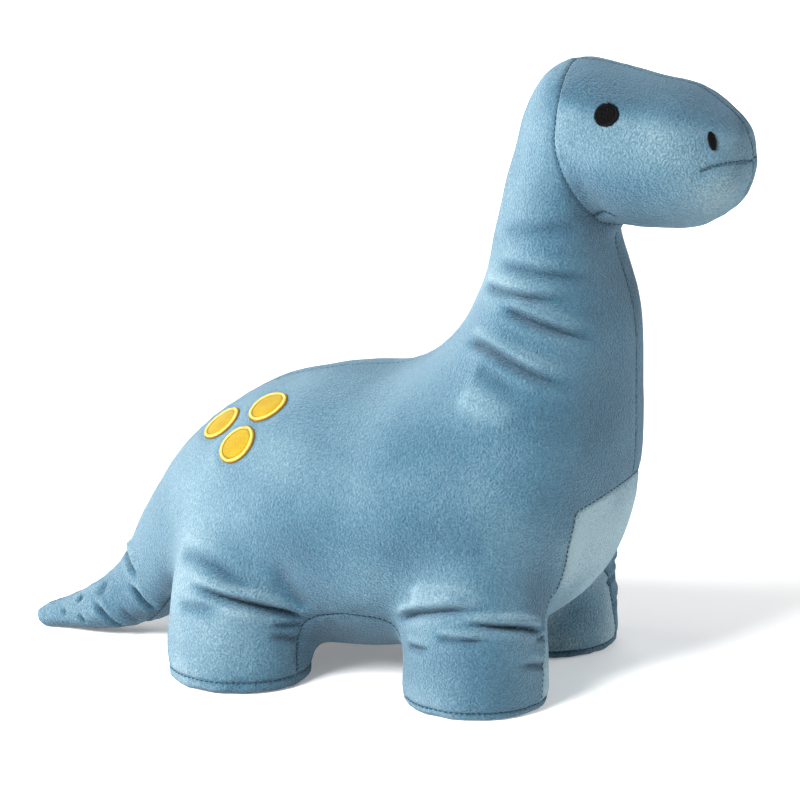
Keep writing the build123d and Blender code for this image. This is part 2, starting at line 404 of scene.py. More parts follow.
# ---- Folds on the animal's right side: points along each crease from its strong end, its depth (below 0
# for a ridge), its width, and how sharp it is from 0 to 1. The left side has the same, a little moved.
FOLDS = [
    ([(73, -32, 245), (97, -41, 249.5), (119, -22, 250)], 0.8, 4.5, 0.3),
    ([(72, -36, 229), (93, -45, 228), (113, -39, 225), (124, -26, 222)], 1.3, 3.4, 0.4),
    ([(60, -30, 215), (79.6, -46, 216), (94, -48.5, 215), (116, -39, 213)], 2.0, 3.0, 0.6),
    ([(77, -48, 209), (95.5, -52, 204), (111, -47, 198), (126, -33, 191)], 2.3, 3.2, 0.6),
    ([(55.8, -41, 188), (71.4, -53, 188), (87, -59, 182.6), (102.5, -57.5, 176), (120, -46, 169)],
     2.4, 3.4, 0.55),
    ([(66, -58, 179), (80, -63, 174), (96, -62, 165)], 0.9, 6.0, 0.0),
    ([(58, -62, 164), (80, -70, 160), (98, -62, 152)], -0.8, 7.0, 0.0),
    ([(33, -74, 44), (41, -82, 50), (52, -89, 54.5), (65, -92, 57.6), (78, -90, 58.6), (88, -86, 58.7)],
     2.4, 2.6, 0.7),
    ([(40, -81, 61), (55, -89, 65), (72, -91, 66.5), (84, -87, 66)], -1.5, 4.2, 0.0),
    ([(104.5, -60, 41), (102, -70, 45.5), (96, -80, 48.5), (89, -87, 50), (79, -92, 51.4), (70, -93, 51)],
     2.9, 2.5, 0.75),
    ([(58, -93, 43), (68, -94, 43), (79, -93, 43), (90, -88, 43)], 1.5, 2.2, 0.6),
    ([(37, -80, 33), (44, -87, 33.6), (58, -93, 36)], 1.4, 2.2, 0.6),
    ([(105.6, -56, 22), (104, -69, 25.9), (98, -80, 28)], 1.7, 2.2, 0.5),
    ([(105.5, -50, 37), (104.7, -60, 38), (102, -70, 39)], 1.3, 1.8, 0.6),
    ([(-21, -68, 37.5), (-27.7, -75, 41), (-36, -82, 45), (-46, -89, 49), (-58, -93, 52), (-72, -92, 55),
      (-84, -86, 56)], 3.5, 2.9, 0.75),
    ([(-93, -70, 68), (-87, -78, 69.4), (-75.6, -86, 70.5), (-64, -89, 67.7), (-52, -89, 60),
      (-41, -85, 52)], 1.5, 4.6, 0.2),
    ([(-88, -84, 43), (-75, -92.5, 44.3), (-66, -94, 45), (-56, -93, 46)], 1.1, 3.6, 0.1),
    ([(-24, -68, 34.5), (-30, -75, 35.4), (-38, -83, 37)], 1.5, 2.2, 0.5),
    ([(-26.5, -67, 26), (-31.5, -77, 28.7), (-39, -85, 31)], 1.0, 2.6, 0.2),
    ([(-20, -72, 42), (-29, -82, 61), (-36, -84, 78)], 0.9, 6.0, 0.0),
    ([(-147, -12, 49.5), (-145, -20, 48), (-141, -26, 45), (-138, -29, 41), (-134, -31, 37)], 2.9, 2.5, 0.6),
    ([(-127, -22, 17), (-131.8, -27, 23), (-137, -29, 30), (-143, -28, 34)], 2.2, 2.3, 0.6),
    ([(-148, -14, 4), (-155.5, -23, 11.6), (-160, -24, 17), (-166, -22, 22)], 2.1, 2.1, 0.65),
    ([(-140, -16, 8.6), (-143.5, -23, 13.6), (-148, -26, 21)], 0.9, 2.0, 0.3),
    ([(-170, -20, 6), (-174, -22, 12.5)], 1.2, 1.8, 0.5),
    ([(-172, -17, 21.5), (-175.5, -19.5, 17)], 1.2, 1.8, 0.5),
    ([(-182, -19, 9.5), (-184, -18.3, 14)], 0.9, 1.6, 0.5),
    ([(-158, -20, 33), (-161, -25, 27), (-160, -27, 22)], 0.8, 3.0, 0.2),
]
FOLD_DEPTH = 2.0        # all the depths above are multiplied by this
MOUTH = [(179, -32, 283), (184, -29.5, 285), (190.5, -23, 286), (195.5, -12, 285.5), (198, 0, 284.5)]
THROAT_DART = [(119, -22, 254), (127, -25, 256), (132, -24, 254)]
SPOTS = {
    "front": ((-55, 40, 144), (-0.40, 0.38, 0.83)),
    "lower": ((-66, 58, 127), (-0.57, 0.53, 0.63)),
    "rear": ((-84, 34, 131), (-0.66, 0.29, 0.70)),
}
SPOT_RADIUS = 11.6
SPOT_EDGE_WIDTH = 2.7       # from the rim inwards: the dark edging, partly dark thread ends and partly painted shadow at the rim, and the bright satin over it
SATIN_REACH = (2.3, 0.75)
SPOT_CLOTH_INSET = 2.6
EYE = ((129, 36, 310), (0.08, 0.85, 0.52))
EYE_RADIUS = 6.4
NOSTRIL = ((182, 26, 298), (0.68, 0.62, 0.38))


def line_distance(co, points):
    """Distance of each vertex from a broken line, how far along it it lies, and how far above it."""
    points = np.array(points, float)
    lengths = np.linalg.norm(np.diff(points, axis=0), axis=1)
    best = np.full(len(co), 1e9)
    along = np.zeros(len(co))
    above = np.zeros(len(co))
    done = 0.0
    for start, end, length in zip(points, points[1:], lengths):
        t = np.clip((co - start) @ (end - start) / length ** 2, 0, 1)
        apart = co - start - t[:, None] * (end - start)
        gap = np.linalg.norm(apart, axis=1)
        nearer = gap < best
        above[nearer] = apart[nearer, 2]
        best[nearer] = gap[nearer]
        along[nearer] = (done + t[nearer] * length) / lengths.sum()
        done += length
    return best, along, above


def mirrored(points, shift):
    """The same points on the left side of the body, moved by a shift."""
    out = []
    for x, y, z in points:
        out.append((x + shift[0], 2 * float(tail_middle(x)) - y, z + shift[1]))
    return out


def fold_heights(co, under):
    """How far the folds push each vertex out (above 0) or in."""
    height = np.zeros(len(co))
    for points, depth, width, sharp in FOLDS:
        points = smooth_rows(points, 4)
        jitter = (rng.uniform(-4, 4), rng.uniform(-2, 2))
        for line in (points, mirrored(points, jitter)):
            line = np.array([under.find_nearest(Vector(p))[0] for p in line])
            low, high = np.min(line, 0) - 5 * width, np.max(line, 0) + 5 * width
            near = np.where(np.all((co > low) & (co < high), 1))[0]
            gap, along, above = line_distance(co[near], line)
            taper = step(along, -0.02, 0.2) * (1 - step(along, 0.55, 1.02))
            profile = (sharp - 1) * np.exp(-(gap / width) ** 2) - sharp * np.exp(-gap / (0.4 * width))
            lip = (0.2 + 0.5 * step(above, -1, 1)) * sharp
            profile += lip * np.exp(-((gap - 1.7 * width) / width) ** 2)
            height[near] += FOLD_DEPTH * depth * taper * profile
    return height


def fractal(co, size, seed):
    """Soft noise of about the given size in millimetres, from -1 to 1."""
    shift = Vector((seed * 17.3, seed * 5.1, seed * 9.7))
    return np.array([noise.noise(Vector(p) / size + shift) for p in co])


# ---- The skin: snap to the seams, find the seam lines, then press in seams, puckers and folds.
co, edges, faces = base_skin()
borders = np.zeros(len(co), bool)
for region in REGIONS:
    borders |= snap(co, edges, region)
faces = split_diagonals(faces, borders)
centres = np.array([co[list(face)].mean(0) for face in faces])
labels = label_faces(centres)


def seam_edges():
    """Edges between two panels: pairs of vertices, with the two panels' names."""
    owner = {}
    for index, face in enumerate(faces):
        for i in range(len(face)):
            a, b = face[i], face[(i + 1) % len(face)]
            owner.setdefault((min(a, b), max(a, b)), []).append(labels[index])
    return {pair: names for pair, names in owner.items() if len(names) == 2 and names[0] != names[1]}


def chains(pairs):
    """Join edges end to end into long lines of vertices."""
    links = {}
    for a, b in pairs:
        links.setdefault(a, set()).add(b)
        links.setdefault(b, set()).add(a)
    left = {tuple(sorted(p)) for p in pairs}
    out = []
    starts = [v for v in sorted(links) if len(links[v]) != 2] + sorted(links)
    for start in starts:
        for first in sorted(links[start]):
            if tuple(sorted((start, first))) not in left:
                continue
            line = [start, first]
            left.discard(tuple(sorted((start, first))))
            while len(links[line[-1]]) == 2:
                onward = [n for n in links[line[-1]] if tuple(sorted((line[-1], n))) in left]
                if not onward:
                    break
                left.discard(tuple(sorted((line[-1], onward[0]))))
                line.append(onward[0])
            out.append(line)
    return out


seams = seam_edges()
seam_lines = [line for line in chains(list(seams)) if len(line) > 6]
for _ in range(6):
    for line in seam_lines:
        inner = np.array(line[1:-1])
        co[inner] += 0.5 * (0.5 * (co[np.array(line[:-2])] + co[np.array(line[2:])]) - co[inner])

tree = kdtree.KDTree(sum(len(line) for line in seam_lines))
for line in seam_lines:
    for v in line:
        tree.insert(co[v], v)
tree.balance()
seam_gap = np.array([tree.find(point)[2] for point in co])

normals = vertex_normals(co, faces)
under = BVHTree.FromPolygons([tuple(p) for p in co], faces)
dart_gap = np.full(len(co), 99.0)
for dart in (MOUTH, THROAT_DART):
    for line in (dart, mirrored(dart, (0, 0))):
        line = [under.find_nearest(Vector(p))[0] for p in smooth_rows(line, 4)]
        gap = line_distance(co, line)[0]
        dart_gap = np.minimum(dart_gap, gap)

pucker = fractal(co, 5.5, 3) * np.exp(-(seam_gap / 7) ** 2) * step(seam_gap, 0.3, 3)
lumps = fractal(co, 42, 1) * 1.3 + fractal(co, 18, 2) * 0.45
height = -0.8 * np.exp(-(seam_gap / 0.8) ** 2) - 0.35 * np.exp(-(seam_gap / 4) ** 2)
height += -1.0 * np.exp(-(dart_gap / 0.9) ** 2) - 0.4 * np.exp(-(dart_gap / 4) ** 2)
height += 0.55 * pucker + lumps * step(seam_gap, 2, 14) * step(co[:, 2], 1, 12) + fold_heights(co, under)
for place, _ in SPOTS.values():
    for sign in SIDES.values():
        gap = np.linalg.norm(co - np.array([place[0], sign * place[1], place[2]]), axis=1)
        height += -0.6 * np.exp(-((gap - SPOT_RADIUS - 1) / 2.2) ** 2)
skin = co + normals * height[:, None]
skin[:, 2] = np.maximum(skin[:, 2], 0.25)
skin_normals = vertex_normals(skin, faces)
surface = BVHTree.FromPolygons([tuple(p) for p in skin], faces)

# ---- Materials
def new_material(name, roughness, sheen=0.0, sheen_roughness=0.5, sheen_tint=(1, 1, 1)):
    """A material with a Principled shader: its node tree, its shader, and the material."""
    material = bpy.data.materials.new(name)
    material.use_nodes = True
    shader = material.node_tree.nodes["Principled BSDF"]
    shader.inputs["Roughness"].default_value = roughness
    shader.inputs["Sheen Weight"].default_value = sheen
    shader.inputs["Sheen Roughness"].default_value = sheen_roughness
    shader.inputs["Sheen Tint"].default_value = (*sheen_tint, 1)
    shader.inputs["Specular IOR Level"].default_value = 0.25
    return material.node_tree, shader, material


def add_node(tree, kind, **values):
    """A node with some of its properties or input sockets set."""
    node = tree.nodes.new(kind)
    for key, value in values.items():
        if hasattr(node, key):
            setattr(node, key, value)
        else:
            node.inputs[key].default_value = value
    return node


def ramp(tree, source, stops):
    """A colour ramp on a value, with stops of place and colour."""
    node = add_node(tree, "ShaderNodeValToRGB")
    tree.links.new(source, node.inputs["Fac"])
    elements = node.color_ramp.elements
    elements[0].position, elements[0].color = stops[0][0], (*stops[0][1], 1)
    elements[1].position, elements[1].color = stops[-1][0], (*stops[-1][1], 1)
    for place, colour in stops[1:-1]:
        elements.new(place).color = (*colour, 1)
    return node.outputs["Color"]


def texture(tree, coords, scale, detail=2.0, roughness=0.5, distortion=0.0):
    """A noise texture over the object's own place."""
    node = add_node(tree, "ShaderNodeTexNoise", Scale=scale, Detail=detail, Roughness=roughness,
                    Distortion=distortion)
    tree.links.new(coords, node.inputs["Vector"])
    return node.outputs["Fac"]


def maths(tree, operation, a, b):
    """An arithmetic node over sockets or numbers."""
    node = add_node(tree, "ShaderNodeMath", operation=operation)
    for socket, value in zip(node.inputs, (a, b)):
        if isinstance(value, (int, float)):
            socket.default_value = value
        else:
            tree.links.new(value, socket)
    return node.outputs[0]


def bump(tree, shader, height, strength, distance):
    """Relief from a height."""
    node = add_node(tree, "ShaderNodeBump", Strength=strength, Distance=distance)
    tree.links.new(height, node.inputs["Height"])
    tree.links.new(node.outputs["Normal"], shader.inputs["Normal"])


def plush_material():
    """Velvety short-pile cloth: light and dark where the pile is brushed and where light and shade are
    painted into the nap attribute, with a fine crushed grain.
    """
    tree, shader, material = new_material("plush", 0.8, 0.30, 0.45, (0.7, 0.88, 1.0))
    coords = add_node(tree, "ShaderNodeTexCoord").outputs["Object"]
    nap_and_painted_light = add_node(tree, "ShaderNodeAttribute", attribute_name="nap_and_painted_light").outputs["Fac"]
    grain = texture(tree, coords, 900, 1.5, 0.5)
    tufts = texture(tree, coords, 1900, 2, 0.6)
    clouds = texture(tree, coords, 28, 3, 0.55, 0.4)
    value = maths(tree, "ADD", maths(tree, "MULTIPLY", nap_and_painted_light, 0.5), 0.5)
    value = maths(tree, "ADD", value, maths(tree, "MULTIPLY", maths(tree, "SUBTRACT", clouds, 0.5), 0.25))
    value = maths(tree, "ADD", value, maths(tree, "MULTIPLY", maths(tree, "SUBTRACT", grain, 0.5), 0.65))
    value = maths(tree, "ADD", value, maths(tree, "MULTIPLY", maths(tree, "SUBTRACT", tufts, 0.5), 0.30))
    # The ramp turns the pile's tone, painted shade and painted light into colour; its light end is greyer, a
    # painted sheen.
    colour = ramp(tree, value, [(0.1, (0.008, 0.048, 0.088)), (0.45, (0.038, 0.118, 0.18)),
                                (0.72, (0.105, 0.205, 0.268)), (1.0, (0.26, 0.375, 0.42))])
    tree.links.new(colour, shader.inputs["Base Color"])
    relief = maths(tree, "ADD", grain, maths(tree, "MULTIPLY", tufts, 0.6))
    bump(tree, shader, relief, 1.0, 0.0022)
    return material


def thread_material(name, dark, light, sheen=0.3, roughness=0.5, shine=0.25):
    """Embroidery or sewing thread, a little uneven in colour along its length."""
    tree, shader, material = new_material(name, roughness, sheen, 0.3)
    shader.inputs["Specular IOR Level"].default_value = shine
    coords = add_node(tree, "ShaderNodeTexCoord").outputs["Object"]
    strands = texture(tree, coords, 2600, 2, 0.6)
    tree.links.new(ramp(tree, strands, [(0.3, dark), (0.7, light)]), shader.inputs["Base Color"])
    bump(tree, shader, strands, 0.3, 0.0003)
    return material


def spot_material():
    """Golden short-nap cloth."""
    tree, shader, material = new_material("spot_cloth", 0.8, 0.3, 0.4, (1.0, 0.9, 0.6))
    coords = add_node(tree, "ShaderNodeTexCoord").outputs["Object"]
    grain = texture(tree, coords, 900, 3, 0.6)
    clouds = texture(tree, coords, 110, 2, 0.5)
    value = maths(tree, "ADD", maths(tree, "MULTIPLY", grain, 0.6), maths(tree, "MULTIPLY", clouds, 0.4))
    colour = ramp(tree, value, [(0.3, (0.22, 0.135, 0.001)), (0.7, (0.33, 0.215, 0.002))])
    tree.links.new(colour, shader.inputs["Base Color"])
    bump(tree, shader, grain, 0.4, 0.0005)
    return material


def fibre_material():
    """White polyester fibre filling."""
    tree, shader, material = new_material("fibre", 0.95, 0.4, 0.6)
    coords = add_node(tree, "ShaderNodeTexCoord").outputs["Object"]
    strands = texture(tree, coords, 500, 5, 0.7, 2.0)
    colour = ramp(tree, strands, [(0.3, (0.62, 0.62, 0.60)), (0.7, (0.86, 0.86, 0.84))])
    tree.links.new(colour, shader.inputs["Base Color"])
    bump(tree, shader, strands, 0.8, 0.002)
    return material


PLUSH = plush_material()
BLACK_THREAD = thread_material("black_thread", (0.001, 0.001, 0.0015), (0.006, 0.006, 0.007), 0.01, 0.6, 0.06)
SEAM_THREAD = thread_material("seam_thread", (0.008, 0.03, 0.05), (0.02, 0.06, 0.09), 0.05, 0.8)
SPOT_CLOTH = spot_material()
SPOT_THREAD = thread_material("spot_thread", (0.40, 0.31, 0.03), (0.60, 0.50, 0.12), 0.2)
# Dark brown edging thread round each spot: partly darker thread ends, partly painted shadow along the spot's
# rim.
SPOT_EDGE_AND_PAINTED_SHADOW = thread_material("spot_edge_thread_and_painted_shadow", (0.13, 0.055, 0.001), (0.24, 0.12, 0.003), 0.1)
FIBRE = fibre_material()


# ---- Making pieces
def new_piece(name, verts, piece_faces, material):
    """A smooth-shaded object from vertices in millimetres."""
    mesh = bpy.data.meshes.new(name)
    mesh.from_pydata((np.asarray(verts) * MM).tolist(), [], piece_faces)
    mesh.materials.append(material)
    mesh.shade_smooth()
    return linked(name, mesh)


# Patches that are lighter (above 0) or darker, on both sides alike: place, size, amount. They are partly pile
# brushed up or down, partly painted light and painted shade: painted shade inside the front legs, under the
# cheeks, beside the neck and under the belly, and painted highlights on the flank, hind legs and chin.
BRUSHED_AND_PAINTED_LIGHT = [
    ((-64, 95, 32), 30, 0.4), ((-88, 70, 105), 38, 0.35), ((155, 40, 295), 22, 0.25),
    ((115, 38, 274), 17, -0.5), ((138, 38, 268), 22, -0.45), ((178, 22, 262), 18, 0.35),
    ((118, 38, 214), 26, -0.3), ((0, 86, 95), 34, -0.12), ((60, 93, 68), 14, 0.1),
    ((36, 80, 25), 18, -0.3), ((190, 20, 270), 18, 0.6), ((-90, 20, 140), 60, -0.1),
    ((-35, 80, 128), 24, 0.3), ((-25, 92, 80), 22, -0.15), ((100, 26, 28), 24, -0.8),
    ((150, 45, 285), 20, -0.15),
]


def nap_and_painted_light_of(points, point_normals, reversed_nap):
    """How light or dark the pile is, above 0 light and below 0 dark: partly the pile lying towards the tail
    and brushed, partly painted light and painted shade.
    """
    x, _, z = points.T
    # The pile's random tone, and painted light: surfaces that face the tail, where the lamps on the left
    # fall, are lighter.
    nap_and_painted_light = fractal(points, 33, 7) * 0.3 - 0.3 * point_normals[:, 0] + 0.06
    # Painted light and shade on the head: lighter in the middle, with painted shade over the crown and low on
    # the head.
    crown_edge = 316 - 0.16 * (x - 105) + 4 * fractal(points, 22, 8)
    head = step(x, 98, 104) * step(z, 245, 258)
    nap_and_painted_light += head * (0.34 - 0.75 * step(z, crown_edge - 5, crown_edge + 5) - 0.3 * (1 - step(z, 266, 292)))
    for place, size, amount in BRUSHED_AND_PAINTED_LIGHT:
        apart = np.hypot(np.hypot(x - place[0], np.abs(points[:, 1]) - place[1]), z - place[2])
        nap_and_painted_light += amount * np.exp(-(apart / size) ** 2)
    # Painted shade on surfaces that face down, low on the body behind the chest.
    nap_and_painted_light -= 0.7 * step(-point_normals[:, 2], 0.1, 0.8) * (1 - step(x, 45, 70)) * (1 - step(z, 40, 70))
    return np.clip(nap_and_painted_light + (1.05 * step(x, 40, 85) if reversed_nap else 0), -1, 1)


def cloth_piece(name, chosen):
    """A closed sheet from chosen faces of the skin, its other side inwards."""
    used = sorted({v for i in chosen for v in faces[i]})
    number = {v: i for i, v in enumerate(used)}
    outer = [tuple(number[v] for v in faces[i]) for i in chosen]
    count = len(used)
    used = np.array(used)
    verts = np.vstack([skin[used], skin[used] - skin_normals[used] * CLOTH_THICKNESS])
    edge_count = {}
    for face in outer:
        for i in range(len(face)):
            pair = (face[i], face[(i + 1) % len(face)])
            edge_count[pair] = edge_count.get(pair, 0) + 1
    rim = [(a, b) for a, b in edge_count if (b, a) not in edge_count]
    sheet_faces = outer + [tuple(v + count for v in reversed(face)) for face in outer]
    sheet_faces += [(b, a, a + count, b + count) for a, b in rim]
    piece = new_piece(name, verts, sheet_faces, PLUSH)
    mesh = piece.data
    ends = np.zeros(len(mesh.edges) * 2, np.int64)
    mesh.edges.foreach_get("vertices", ends)
    ends = np.sort(ends.reshape(-1, 2), 1)
    keys = ends[:, 0] * len(verts) + ends[:, 1]
    sharp_pairs = [sorted(p) for a, b in rim for p in ((a, b), (a + count, b + count))]
    sharp = np.isin(keys, [a * len(verts) + b for a, b in sharp_pairs])
    mesh.attributes.new("sharp_edge", "BOOLEAN", "EDGE").data.foreach_set("value", sharp)
    nap_and_painted_light = nap_and_painted_light_of(verts, np.vstack([skin_normals[used]] * 2), "gusset" in name)
    # Painted light and shade on the folds: raised cloth is lighter and creases are darker, together with the
    # pile lying differently in them.
    nap_and_painted_light += 0.3 * np.tile(np.clip(height[used] - 1.2 * lumps[used], -3, 1), 2)
    mesh.attributes.new("nap_and_painted_light", "FLOAT", "POINT").data.foreach_set("value", nap_and_painted_light.astype(np.float32))
    return piece


NECK_CUT = (0.5, 0.866, 243.0)    # the side panels are parted across the neck here: x, z and reach
NECK_CUT_LOWEST = 150


def above_neck_cut(x, z):
    """Whether a place is in the upper neck."""
    return (x * NECK_CUT[0] + z * NECK_CUT[1] > NECK_CUT[2]) & (z > NECK_CUT_LOWEST)


is_neck = above_neck_cut(centres[:, 0], centres[:, 2])
is_rear = centres[:, 0] < 0


def faces_of(*tests):
    """Indices of the faces that pass all tests."""
    return np.where(np.all(tests, 0))[0]


NECK_BEND = {"start": (0.0822, 0, 0.1776), "end": (0.1058, 0, 0.2049)}
HEAD_BEND = {"start": (0.0980, 0, 0.2263), "end": (0.1150, 0, 0.2558)}


def bends(piece, where):
    """Bake the transform of a rear, front or neck piece into its mesh; attach any other piece to the body at
    its place.
    """
    if where == "rear":
        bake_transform(piece)
    elif where == "front":
        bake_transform(piece)
    elif where == "neck":
        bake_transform(piece)
    else:
        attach(piece, where)


def cloth_panel(name, chosen, where, nodes):
    """A finished piece of the plush cover, with the CAD nodes that it stands for."""
    piece = cloth_piece(name, chosen)
    bends(piece, where)
    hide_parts(*nodes)


for side in SIDES:
    own = labels == f"side_{side}"
    torso, neck, tail = (f"{body}_panel_{side}" for body in ("torso", "neck", "tail"))
    cloth_panel(f"side_panel_rear_{side}", faces_of(own, is_rear), "rear", [torso, tail])
    cloth_panel(f"side_panel_front_{side}", faces_of(own, ~is_rear & ~is_neck), "front", [torso, neck])
    cloth_panel(f"side_panel_neck_{side}", faces_of(own, is_neck), "neck", [neck])
    head = f"head_panel_{side}"
    cloth_panel(f"{head}_cloth", faces_of(labels == f"head_{side}"), "head", [head])
    for end in LEG_X:
        sole = f"sole_{end}_{side}"
        cloth_panel(f"{sole}_cloth", faces_of(labels == sole), "torso", [sole])
cloth_panel("underbody_gusset_cloth", faces_of(labels == "gusset"), "rear",
            ["underbody_gusset", "tail_gusset"])


# ---- Thread: short tubes
def tube(points, radius, sides=6):
    """A round-ended tube through points: vertices and faces."""
    points = [Vector(p) for p in points]
    rings = []
    reference = Vector((0.3, 0.5, 0.81))
    for i, point in enumerate(points):
        ahead = points[min(i + 1, len(points) - 1)] - points[max(i - 1, 0)]
        ahead.normalize()
        across = ahead.cross(reference).normalized()
        other = ahead.cross(across)
        size = radius * (0.55 if i in (0, len(points) - 1) else 1.0)
        ring = []
        for j in range(sides):
            angle = 2 * math.pi * j / sides
            ring.append(tuple(point + (across * math.cos(angle) + other * math.sin(angle)) * size))
        rings.append(ring)
    return rings_to_mesh([np.array(ring) for ring in rings])


def joined(parts):
    """Several meshes as one: vertices and faces."""
    verts, all_faces = [], []
    for part_verts, part_faces in parts:
        shift = len(verts)
        verts += part_verts
        all_faces += [tuple(i + shift for i in face) for face in part_faces]
    return verts, all_faces


STITCH_PITCH = 2.9
STITCH_LENGTH = 1.9
STITCH_RADIUS = 0.3


def stitches(points, outward):
    """Stitches along a line of points in the skin: a list of places and small tubes."""
    points, outward = np.array(points), np.array(outward)
    lengths = np.concatenate([[0], np.cumsum(np.linalg.norm(np.diff(points, axis=0), axis=1))])
    out = []
    place = STITCH_PITCH * 0.5
    while place + STITCH_LENGTH < lengths[-1]:
        reach = place + STITCH_LENGTH * np.array([0, 0.33, 0.67, 1])
        line = np.stack([np.interp(reach, lengths, points[:, i]) for i in range(3)], 1)
        lift = np.stack([np.interp(reach, lengths, outward[:, i]) for i in range(3)], 1)
        rise = np.array([-0.1, 0.45, 0.45, -0.1])[:, None]
        out.append((line.mean(0), tube(line + lift * rise, STITCH_RADIUS, 5)))
        place += STITCH_PITCH * rng.uniform(0.93, 1.07)
    return out


def zone_of(place, names):
    """Where a stitch belongs, from its place and the panels that its seam joins."""
    x, _, z = place
    if any(name.startswith("head") for name in names):
        return "head"
    if any(name.startswith("sole") for name in names):
        return "torso"
    if above_neck_cut(x, z):
        return "neck"
    return "rear" if x < 0 else "front"


by_zone = {}
for line in seam_lines:
    names = seams.get((min(line[0], line[1]), max(line[0], line[1])), ["", ""])
    for place, mesh_part in stitches(skin[line], skin_normals[line]):
        by_zone.setdefault(zone_of(place, names), []).append(mesh_part)
for dart in (MOUTH, THROAT_DART):
    for line in (dart, mirrored(dart, (0, 0))):
        path, outward = [], []
        for p in smooth_rows(line, 6):
            hit, normal = surface.find_nearest(under.find_nearest(Vector(p))[0])[:2]
            path.append(hit)
            outward.append(normal)
        by_zone["head"] += [part for _, part in stitches(path, outward)]
for where, parts in by_zone.items():
    thread = new_piece(f"seam_thread_{where}", *joined(parts), SEAM_THREAD)
    bends(thread, where)


# ---- Embroidery and spots
class Patch:
    """A flat working plane held against the skin, from which points are pressed on to the skin."""

    def __init__(self, place, direction, sign):
        self.centre = Vector((place[0], sign * place[1], place[2]))
        self.out = Vector((direction[0], sign * direction[1], direction[2])).normalized()
        self.centre = under.find_nearest(self.centre)[0]
        self.across = Vector((0, 0, 1)).cross(self.out).normalized()
        self.up = self.out.cross(self.across)

    def on_skin(self, a, b, lift):
        """The point a across and b up, lifted off the skin."""
        start = self.centre + self.across * a + self.up * b + self.out * 15
        hit, normal = surface.ray_cast(start, -self.out, 40)[:2]
        if hit is None:
            hit, normal = surface.find_nearest(start - self.out * 15)[:2]
        return hit + normal * lift


def satin_ring(patch, inner, outer, pitch, radius, lift, ragged):
    """Threads laid across a ring, side by side."""
    parts = []
    count = int(2 * math.pi * outer / pitch)
    for i in range(count):
        angle = 2 * math.pi * i / count
        low = inner - rng.uniform(0, ragged)
        high = outer + rng.uniform(-ragged, ragged)
        line = []
        for t in (0, 0.2, 0.5, 0.8, 1):
            reach = low + (high - low) * t
            rise = lift * math.sin(math.pi * (0.08 + 0.84 * t))
            line.append(patch.on_skin(reach * math.cos(angle), reach * math.sin(angle), rise))
        parts.append(tube(line, radius, 6))
    return parts


def filled_rows(patch, half_width, half_height, pitch, radius, lift, angle, length):
    """Rows of thread that fill an oval, each row in stitches of some length."""
    parts = []
    turn_x, turn_y = math.cos(angle), math.sin(angle)
    rows = int(2 * half_height / pitch)
    for i in range(rows + 1):
        v = -half_height + 2 * half_height * i / rows
        half = half_width * math.sqrt(max(0, 1 - (v / half_height) ** 2))
        u = -half
        first = True
        while u < half - 0.3:
            reach = min(length * (rng.uniform(0.3, 1) if first else 1), half - u)
            line = []
            for t in (0, 0.25, 0.75, 1):
                a, b = u + reach * t, v
                rise = lift * (0.55 if t in (0, 1) else 1)
                line.append(patch.on_skin(a * turn_x - b * turn_y, a * turn_y + b * turn_x, rise))
            parts.append(tube(line, radius, 6))
            u += reach
            first = False
    return parts


def dome(patch, radius, lift, edge, rings=10, around=64):
    """A low closed cushion on the skin: a round top and its underside just inside the skin."""
    def layer(rise_of):
        out = []
        for r in range(1, rings + 1):
            share = r / rings
            for i in range(around):
                angle = 2 * math.pi * i / around
                a, b = radius * share * math.cos(angle), radius * share * math.sin(angle)
                out.append(tuple(patch.on_skin(a, b, rise_of(share))))
        return out
    top = layer(lambda s: edge + (lift - edge) * (1 - s ** 6))
    bottom = layer(lambda s: -0.5)
    verts = top + bottom + [tuple(patch.on_skin(0, 0, lift)), tuple(patch.on_skin(0, 0, -0.5))]
    size = rings * around
    out = []
    for shift, centre, flip in ((0, 2 * size, False), (size, 2 * size + 1, True)):
        for i in range(around):
            k = (i + 1) % around
            triangle = (shift + i, shift + k, centre)
            out.append(tuple(reversed(triangle)) if flip else triangle)
            for r in range(rings - 1):
                a, b = shift + r * around, shift + (r + 1) * around
                quad = (a + k, a + i, b + i, b + k)
                out.append(tuple(reversed(quad)) if flip else quad)
    last = (rings - 1) * around
    for i in range(around):
        k = (i + 1) % around
        out.append((last + k, last + i, size + last + i, size + last + k))
    return verts, out


def finish_piece(piece, body, node):
    """Attach a small piece to its body, and hide the CAD node it stands for."""
    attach(piece, body)
    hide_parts(node)


